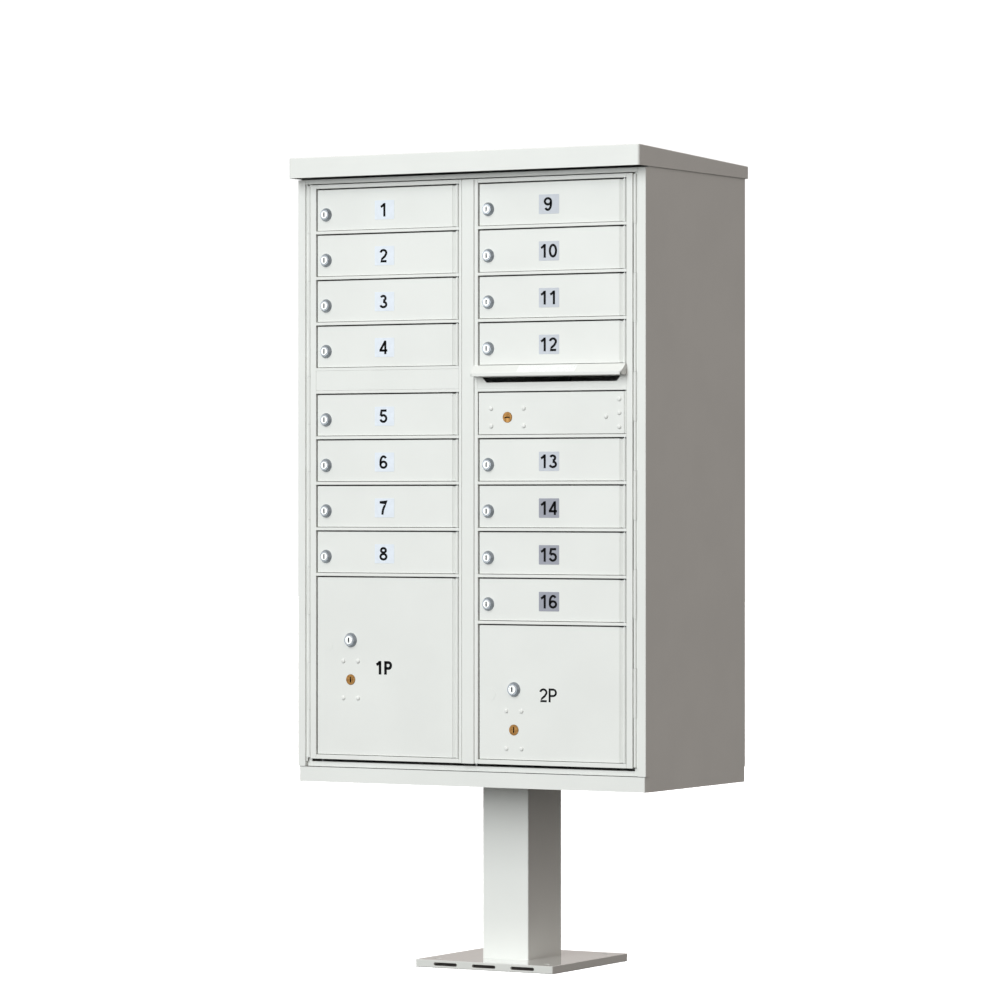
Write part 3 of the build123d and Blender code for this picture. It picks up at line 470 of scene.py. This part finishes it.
def figures(name, text, height, thickness, stroke):
    """Printed figures as thin solids in the XZ plane, facing -Y and centred."""
    shapes = glyphs(stroke)
    verts, faces = [], []
    for place_in_text, character in enumerate(text):
        shift = place_in_text * FIGURE_ADVANCE
        for path in shapes[character]:
            moved = [(x + shift, z) for x, z in path]
            stroke_solid(moved, stroke, thickness / height, verts, faces)
    middle = ((len(text) - 1) * FIGURE_ADVANCE + FIGURE_WIDTH) / 2
    mesh = bpy.data.meshes.new(name)
    wide = height * FIGURE_STRETCH
    points = [((x - middle) * wide, y * height, (z - 0.5) * height) for x, y, z in verts]
    mesh.from_pydata(points, [], faces)
    mesh.validate()
    return add_object(name, mesh)


def place(obj, spot, body, material):
    """Puts an added piece where it belongs, on the body that it rides with."""
    obj.location = spot
    obj.data.materials.clear()
    obj.data.materials.append(material)
    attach(obj, body)


def label_tint(number):
    if number <= LAST_PALE_LABEL:
        return LABEL_TINTS["pale"]
    return LABEL_TINTS["lavender" if number <= LAST_LAVENDER_LABEL else "grey"]


for number in TENANTS:
    door = f"tenant_door_{number:02d}"
    low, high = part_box(door)
    spot = Vector((low.x + LABEL_FROM_LEFT, leaf_face(door) - CLEARANCE, high.z - LABEL_FROM_TOP))
    label = rounded_plate(
        f"label_{number:02d}", LABEL_WIDTH, LABEL_HEIGHT, LABEL_THICKNESS, LABEL_CORNER
    )
    place(label, spot, door, label_tint(number))
    digits = figures(
        f"figures_{number:02d}", str(number), FIGURE_HEIGHT, FIGURE_THICKNESS, FIGURE_STROKE
    )
    ahead = -LABEL_THICKNESS - FIGURE_THICKNESS / 2 - CLEARANCE
    shift = FIGURE_SHIFT if number < FIRST_PAIR else PAIR_SHIFT
    place(digits, spot + Vector((shift, ahead, 0)), door, ink)

for number in PARCELS:
    door = f"parcel_door_{number}"
    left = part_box(door)[0].x
    mark = figures(
        f"figures_{number}P", f"{number}P", FIGURE_HEIGHT, FIGURE_THICKNESS,
        PARCEL_MARK_STROKE[number],
    )
    ahead = leaf_face(door) - FIGURE_THICKNESS / 2 - CLEARANCE
    spot = Vector((left + LABEL_FROM_LEFT + FIGURE_SHIFT, ahead, PARCEL_MARK_Z[number]))
    place(mark, spot, door, ink)


# ---------------------------------------------------------------- sticker and side skirts

def stick_on_awning():
    """A blank white sticker on the slope of the hood over the mail slot."""
    mesh = nodes["mail_slot_hood"].data
    slopes = [p for p in mesh.polygons if p.normal.y < -SLOPES and p.normal.z > SLOPES]
    slope = max(slopes, key=lambda polygon: polygon.area)
    corners = [mesh.vertices[index].co for index in slope.vertices]
    upper = max(corners, key=lambda corner: corner.z)
    lower = min(corners, key=lambda corner: corner.z)
    middle = (upper + lower) / 2
    left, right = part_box("mail_slot_hood")
    middle.x = left.x + (right.x - left.x) * STICKER_FROM_LEFT
    sticker = rounded_plate(
        "awning_sticker", STICKER_WIDTH, STICKER_HEIGHT, LABEL_THICKNESS, LABEL_CORNER
    )
    sticker.rotation_euler = (-math.atan2(slope.normal.z, -slope.normal.y), 0, 0)
    spot = middle + slope.normal * CLEARANCE
    place(sticker, spot, "right_loading_door", sticker_vinyl)


def side_skirt(name, side, panel):
    """A side sheet's lower edge, which laps the floor pan down to its bottom.

    side is -1 for the left and 1 for the right. The CAD's panels end above the pan.
    """
    panel_low, panel_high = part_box(panel)
    pan_low, pan_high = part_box("floor_pan")
    outer, inner = panel_high.x if side > 0 else -panel_low.x, pan_high.x + CLEARANCE
    front, back = pan_low.y + SKIRT_FRONT, pan_high.y
    outline = [(inner, front), (outer, front + SKIRT_TAPER), (outer, back), (inner, back)]
    if side < 0:
        outline = [(-x, y) for x, y in reversed(outline)]
    count = len(outline)
    verts = [(x, y, z) for z in (pan_low.z, panel_low.z) for x, y in outline]
    faces = [tuple(reversed(range(count))), tuple(range(count, 2 * count))]
    for index in range(count):
        after = (index + 1) % count
        faces.append((index, after, after + count, index + count))
    mesh = bpy.data.meshes.new(name)
    mesh.from_pydata(verts, [], faces)
    mesh.validate()
    place(add_object(name, mesh), (0, 0, 0), "cabinet", paint)


stick_on_awning()
side_skirt("side_skirt_left", -1, "side_panel_left")
side_skirt("side_skirt_right", 1, "side_panel_right")


# ---------------------------------------------------------------- studio

FLOOR_SIZE = 60.0
FLOOR_ALBEDO = (0.50, 0.52)
FLOOR_MOTTLE = (0.8, 2.0)
FLOOR_ROUGHNESS = 0.9
BACKDROP = 1.08                 # just over white
FLOOR_WASH = 7.8                # strength of the light that falls on the floor alone
WASH_SPREAD = math.radians(30)
FILL_TINT = (1.0, 0.926, 0.88)
FILL = (0.05, 0.55, 0.18)       # fill light below the horizon, above it, and its softness
GLOSS = (0.08, 0.85, 0.60)      # the same for what polished faces mirror
LIGHTS_TINT = (0.935, 0.988, 1.0)
LIGHTS_AIM = (0, 0, 0.8)
KEY_AT = (-2.6, -12.0, 6.3)
KEY_SIZE = (5.0, 13.0)
KEY_POWER = 1600
CARD_AT = (-7.0, -11.0, 1.5)
CARD_SIZE = (4.0, 4.0)
CARD_POWER = 60
CAMERA_AT = (4.5612, -8.0935, 0.9073)
CAMERA_TURN = math.radians(29.632)
CAMERA_LENS = 171.16
CAMERA_SENSOR = 36.0
CAMERA_REACH = 200.0


def make_floor():
    mesh = bpy.data.meshes.new("studio_floor")
    half = FLOOR_SIZE / 2
    corners = [(-half, -half, 0), (half, -half, 0), (half, half, 0), (-half, half, 0)]
    mesh.from_pydata(corners, [], [(0, 1, 2, 3)])
    floor = add_object("studio_floor", mesh)
    s = Shader("studio_floor")
    s.link(s.ramp(s.noise(*FLOOR_MOTTLE), *FLOOR_ALBEDO), s.bsdf.inputs["Base Color"])
    s.set(Roughness=FLOOR_ROUGHNESS)
    floor.data.materials.append(s.material)
    floor.visible_diffuse = False
    floor.visible_glossy = False
    return floor


def sky(tree, height, low, high, softness):
    """A background that rises from low to high across the horizon."""
    span = tree.nodes.new("ShaderNodeMapRange")
    span.interpolation_type = "SMOOTHSTEP"
    span.inputs["From Min"].default_value = -softness
    span.inputs["From Max"].default_value = softness
    span.inputs["To Min"].default_value = low
    span.inputs["To Max"].default_value = high
    tree.links.new(height, span.inputs["Value"])
    background = tree.nodes.new("ShaderNodeBackground")
    background.inputs["Color"].default_value = rgba(FILL_TINT)
    tree.links.new(span.outputs["Result"], background.inputs["Strength"])
    return background.outputs["Background"]


def make_world():
    """White behind the object, with a dimmer warm sky that fills the shadows."""
    world = bpy.data.worlds.new("studio")
    bpy.context.scene.world = world
    world.use_nodes = True
    tree = world.node_tree
    out = tree.nodes["World Output"]
    white = tree.nodes["Background"]
    white.inputs["Color"].default_value = (1, 1, 1, 1)
    white.inputs["Strength"].default_value = BACKDROP
    direction = tree.nodes.new("ShaderNodeTexCoord").outputs["Generated"]
    split = tree.nodes.new("ShaderNodeSeparateXYZ")
    tree.links.new(direction, split.inputs["Vector"])
    height = split.outputs["Z"]
    path = tree.nodes.new("ShaderNodeLightPath")
    shadows = tree.nodes.new("ShaderNodeMixShader")
    tree.links.new(path.outputs["Is Glossy Ray"], shadows.inputs["Fac"])
    tree.links.new(sky(tree, height, *FILL), shadows.inputs[1])
    tree.links.new(sky(tree, height, *GLOSS), shadows.inputs[2])
    seen = tree.nodes.new("ShaderNodeMixShader")
    tree.links.new(path.outputs["Is Camera Ray"], seen.inputs["Fac"])
    tree.links.new(shadows.outputs["Shader"], seen.inputs[1])
    tree.links.new(white.outputs["Background"], seen.inputs[2])
    tree.links.new(seen.outputs["Shader"], out.inputs["Surface"])


def area_light(name, at, size, power):
    data = bpy.data.lights.new(name, "AREA")
    data.shape = "RECTANGLE"
    data.size, data.size_y = size
    data.energy = power
    data.color = LIGHTS_TINT
    light = add_object(name, data)
    light.location = at
    light.rotation_euler = (Vector(LIGHTS_AIM) - Vector(at)).to_track_quat("-Z", "Y").to_euler()


def group_of(name, *members):
    group = bpy.data.collections.new(name)
    for member in members:
        group.objects.link(member)
    return group


def wash_floor(floor):
    """Light from straight above for the floor alone; only the pedestal's base shades it."""
    data = bpy.data.lights.new("floor_wash", "SUN")
    data.energy = FLOOR_WASH
    data.angle = WASH_SPREAD
    wash = add_object("floor_wash", data)
    wash.light_linking.receiver_collection = group_of("washed", floor)
    wash.light_linking.blocker_collection = group_of("washed_blockers", nodes["pedestal_base"])


def make_lights():
    """A tall soft key from the left, and a dim card that the polished lock faces mirror."""
    area_light("key", KEY_AT, KEY_SIZE, KEY_POWER)
    area_light("card", CARD_AT, CARD_SIZE, CARD_POWER)


def make_camera():
    data = bpy.data.cameras.new("camera")
    data.lens = CAMERA_LENS
    data.sensor_width = CAMERA_SENSOR
    data.clip_end = CAMERA_REACH
    camera = add_object("camera", data)
    camera.location = CAMERA_AT
    camera.rotation_euler = (math.pi / 2, 0, CAMERA_TURN)
    bpy.context.scene.camera = camera


wash_floor(make_floor())
make_world()
make_lights()
make_camera()
bpy.context.scene.view_settings.view_transform = "Standard"
